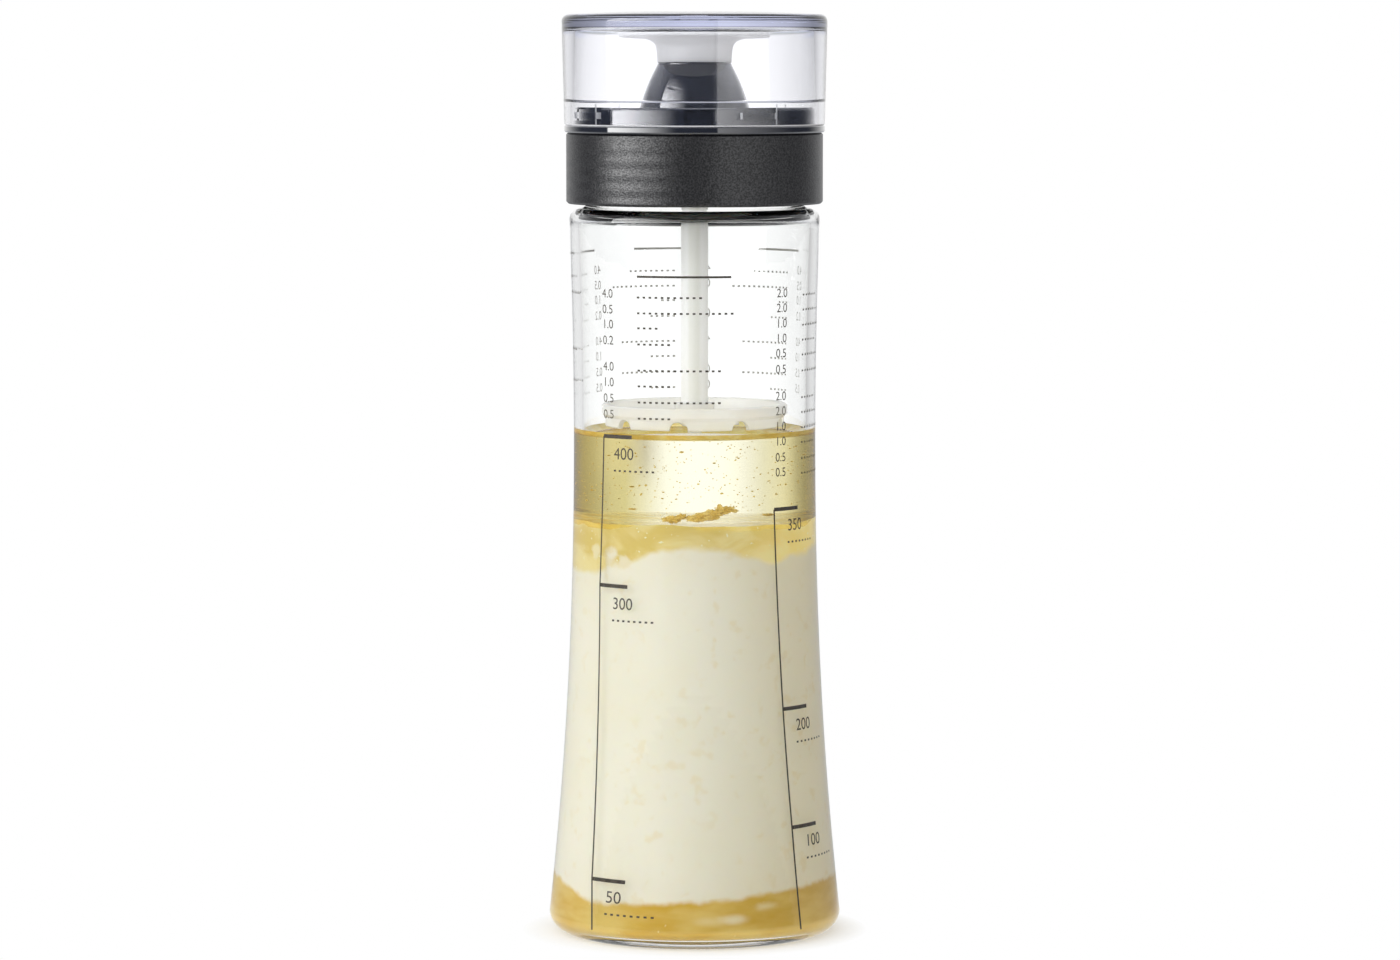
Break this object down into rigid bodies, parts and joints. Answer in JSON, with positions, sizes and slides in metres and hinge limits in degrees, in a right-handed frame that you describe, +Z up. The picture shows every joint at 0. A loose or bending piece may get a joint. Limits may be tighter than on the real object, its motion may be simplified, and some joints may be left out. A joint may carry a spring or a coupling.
{
  "type": "salad dressing shaker bottle",
  "caption": "Tall waisted glass shaker bottle with a black screw collar, a pouring spout under a clear lid, and a mixing disc on a rod inside.",
  "frame": {"origin": "centre of the circle that the foot rests on", "axes": "+Z up along the bottle's axis, -Y towards the side the picture shows"},
  "size_m": [0.0774, 0.0774, 0.244],
  "materials": {
    "clear_glass": "clear, polished",
    "seal_silicone": "satin",
    "collar_black": "matte, fine grain",
    "deck_black": "gloss",
    "lid_clear": "clear, polished",
    "plug_silicone": "translucent satin",
    "mixer_plastic": "translucent satin"
  },
  "bodies": {
    "bottle": {"glass_bottle": "clear_glass"},
    "closure": {"pouring_deck": "deck_black", "mouth_seal": "seal_silicone"},
    "collar": {"screw_collar": "collar_black"},
    "plug": {"spout_plug": "plug_silicone"},
    "lid": {"clear_lid": "lid_clear"},
    "mixer": {"mixer_rod": "mixer_plastic", "mixer_disc": "mixer_plastic"}
  },
  "joints": [
    {"name": "closure_lift", "type": "slide", "parent": "bottle", "child": "closure", "axis": [0, 0, 1], "range_m": [0, 0.09]},
    {"name": "collar_turn", "type": "hinge", "parent": "closure", "child": "collar", "pos_m": [0, 0, 0.203], "axis": [0, 0, 1], "range_deg": [-50, 0]},
    {"name": "lid_lift", "type": "slide", "parent": "closure", "child": "plug", "axis": [0, 0, 1], "range_m": [0, 0.04]},
    {"name": "lid_turn", "type": "hinge", "parent": "plug", "child": "lid", "pos_m": [0, 0, 0.237], "axis": [0, 0, 1], "range_deg": [-25, 0]},
    {"name": "mixer_pull", "type": "slide", "parent": "closure", "child": "mixer", "axis": [0, 0, -1], "range_m": [0, 0.014]}
  ]
}
